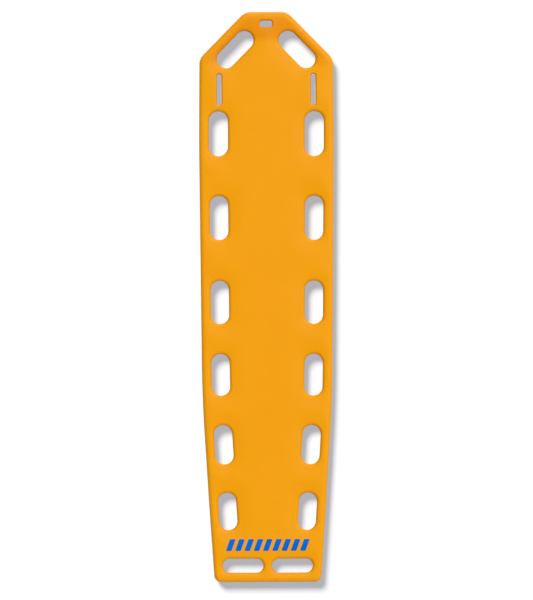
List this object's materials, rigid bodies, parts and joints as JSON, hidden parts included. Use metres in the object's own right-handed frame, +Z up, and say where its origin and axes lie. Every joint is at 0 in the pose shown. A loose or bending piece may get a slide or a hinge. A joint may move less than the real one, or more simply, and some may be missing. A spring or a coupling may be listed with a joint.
{
  "type": "spine board",
  "caption": "Flat rigid carrying board for a lying patient, with a chamfered head end, a tapering foot end, hand holes along its edges and strap slots.",
  "frame": {"origin": "bottom centre of the board, on the surface that its two runners stand on", "axes": "+X across the board to the right seen from above with the head end up, +Y along it towards the head end, +Z up through its thickness"},
  "size_m": [0.4314, 1.83, 0.045],
  "materials": {
    "board_skin": "satin",
    "foam": "matte",
    "glass_fibre": "satin",
    "plug_plastic": "satin",
    "mark_film": "satin"
  },
  "bodies": {
    "root": {"moulded_shell": "board_skin", "foam_core": "foam", "stiffener_tube_left": "glass_fibre", "stiffener_tube_right": "glass_fibre", "stiffener_bung_head_left": "plug_plastic", "stiffener_bung_head_right": "plug_plastic", "stiffener_bung_foot_left": "plug_plastic", "stiffener_bung_foot_right": "plug_plastic", "fill_port_plug": "plug_plastic", "vent_plug_head": "plug_plastic", "vent_plug_foot": "plug_plastic", "foot_mark_bar_1": "mark_film", "foot_mark_bar_2": "mark_film", "foot_mark_bar_3": "mark_film", "foot_mark_bar_4": "mark_film", "foot_mark_bar_5": "mark_film", "foot_mark_bar_6": "mark_film", "foot_mark_bar_7": "mark_film", "foot_mark_bar_8": "mark_film", "foot_mark_bar_9": "mark_film"}
  },
  "joints": []
}
